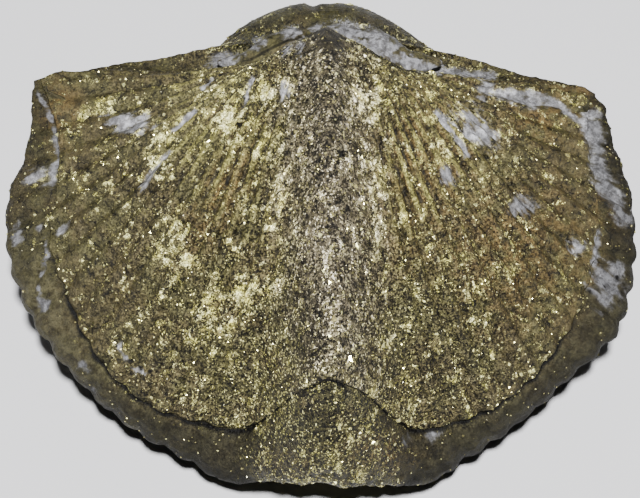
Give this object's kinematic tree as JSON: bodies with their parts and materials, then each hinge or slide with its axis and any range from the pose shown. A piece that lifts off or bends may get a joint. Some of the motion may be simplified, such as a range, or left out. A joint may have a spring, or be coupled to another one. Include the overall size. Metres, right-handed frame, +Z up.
{
  "type": "brachiopod fossil",
  "caption": "Closed brachiopod shell turned to pyrite, with ribbed flanks, a high smooth fold, a curved beak and grey shale between the beaks. It lies on its lower valve.",
  "frame": {"origin": "middle of the bounding box's underside, on the surface the fossil lies on", "axes": "+X along the hinge line towards the shell's left side as it lies, +Y towards the beaks, +Z up; the brachial valve is up"},
  "size_m": [0.051, 0.042, 0.0282],
  "materials": {
    "pyrite_shell": "crusted with fine brassy crystals, olive-brown tarnish",
    "pyrite_band": "darker tarnished crust, dull with small glints",
    "shale": "matt grey shale"
  },
  "bodies": {
    "root": {"brachial_valve": "pyrite_shell", "pedicle_valve": "pyrite_band", "interarea_shale": "shale"}
  },
  "joints": []
}
